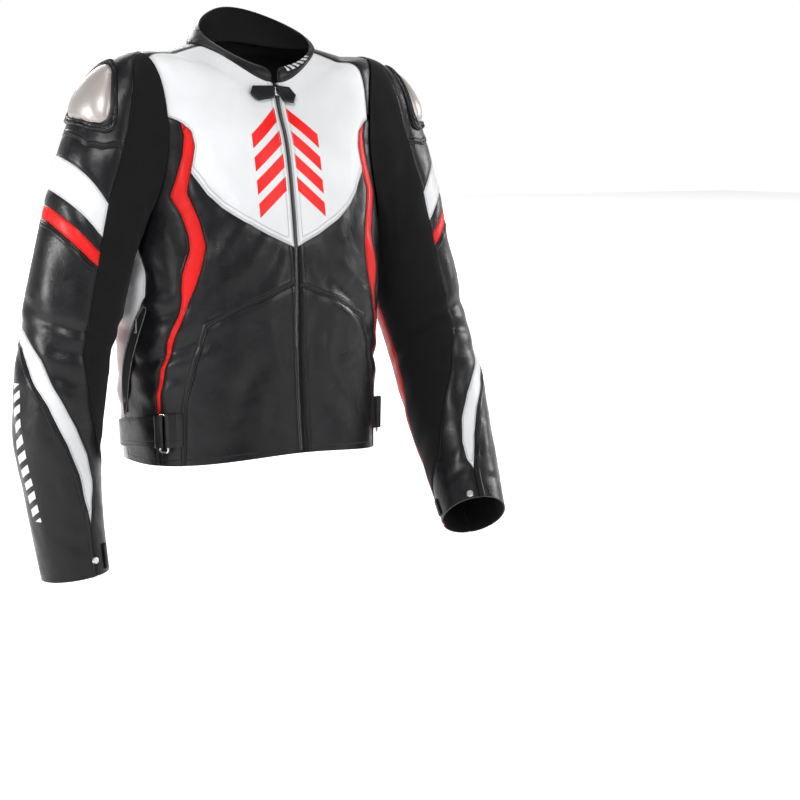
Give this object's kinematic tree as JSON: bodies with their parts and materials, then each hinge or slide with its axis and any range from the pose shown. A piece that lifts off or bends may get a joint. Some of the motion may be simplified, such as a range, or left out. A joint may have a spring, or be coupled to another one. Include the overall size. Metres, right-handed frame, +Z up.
{
  "type": "motorcycle racing jacket",
  "caption": "Motorcycle racing jacket in black, white and red leather, worn shape, hollow, with shoulder plates, stretch panels, side belts and pocket zips.",
  "frame": {"origin": "midway between the two points where the collar seam crosses the shoulders", "axes": "+Z up along the standing wearer, +X towards the wearer's left arm, -Y out of the front, where the zip is"},
  "size_m": [0.6822, 0.3524, 0.7539],
  "materials": {
    "leather": "semi-gloss grained",
    "white": "semi-gloss grained",
    "red": "semi-gloss grained",
    "textile": "matte woven stretch",
    "satin": "satin",
    "metal": "polished"
  },
  "bodies": {
    "jacket": {"back_panel": "leather", "back_yoke": "leather", "collar": "leather", "front_zip": "metal", "zip_slider": "metal", "collar_tab_right": "leather", "collar_tab_left": "leather", "chest_right": "white", "chest_left": "white", "waist_front_right": "leather", "waist_front_left": "leather", "hem_front_right": "leather", "hem_front_left": "leather", "side_stripe_right": "red", "side_stripe_left": "red", "side_panel_right": "leather", "side_panel_left": "leather", "back_side_right": "white", "back_side_left": "white", "stretch_panel_right": "textile", "stretch_panel_left": "textile", "shoulder_cap_right": "leather", "shoulder_cap_left": "leather", "upper_sleeve_right": "leather", "upper_sleeve_left": "leather", "white_band_right": "white", "white_band_left": "white", "band_gap_right": "leather", "band_gap_left": "leather", "red_band_right": "red", "red_band_left": "red", "elbow_panel_right": "leather", "elbow_panel_left": "leather", "forearm_stripe_right": "white", "forearm_stripe_left": "white", "forearm_panel_right": "leather", "forearm_panel_left": "leather", "sleeve_gusset_right": "red", "sleeve_gusset_left": "red", "under_sleeve_right": "leather", "under_sleeve_left": "leather", "shoulder_plate_right": "satin", "shoulder_plate_left": "satin", "shoulder_rim_right": "leather", "shoulder_rim_left": "leather", "belt_strap_right": "leather", "belt_strap_left": "leather", "belt_anchor_right": "leather", "belt_anchor_left": "leather", "belt_ring_right": "metal", "belt_ring_left": "metal", "pocket_zip_right": "textile", "pocket_zip_left": "textile", "cuff_snap_right": "metal", "cuff_snap_left": "metal", "cuff_tab_right": "leather", "cuff_tab_left": "leather"},
    "pull_right": {"pocket_pull_right": "metal"},
    "pull_left": {"pocket_pull_left": "metal"}
  },
  "joints": [
    {"name": "pull_right_hinge", "type": "hinge", "parent": "jacket", "child": "pull_right", "pos_m": [-0.18809, -0.02504, -0.35593], "axis": [-0.1385, 0.9904, 0], "range_deg": [0, 100]},
    {"name": "pull_left_hinge", "type": "hinge", "parent": "jacket", "child": "pull_left", "pos_m": [0.17952, -0.02504, -0.35616], "axis": [-0.1399, -0.9902, 0], "range_deg": [0, 100]}
  ]
}
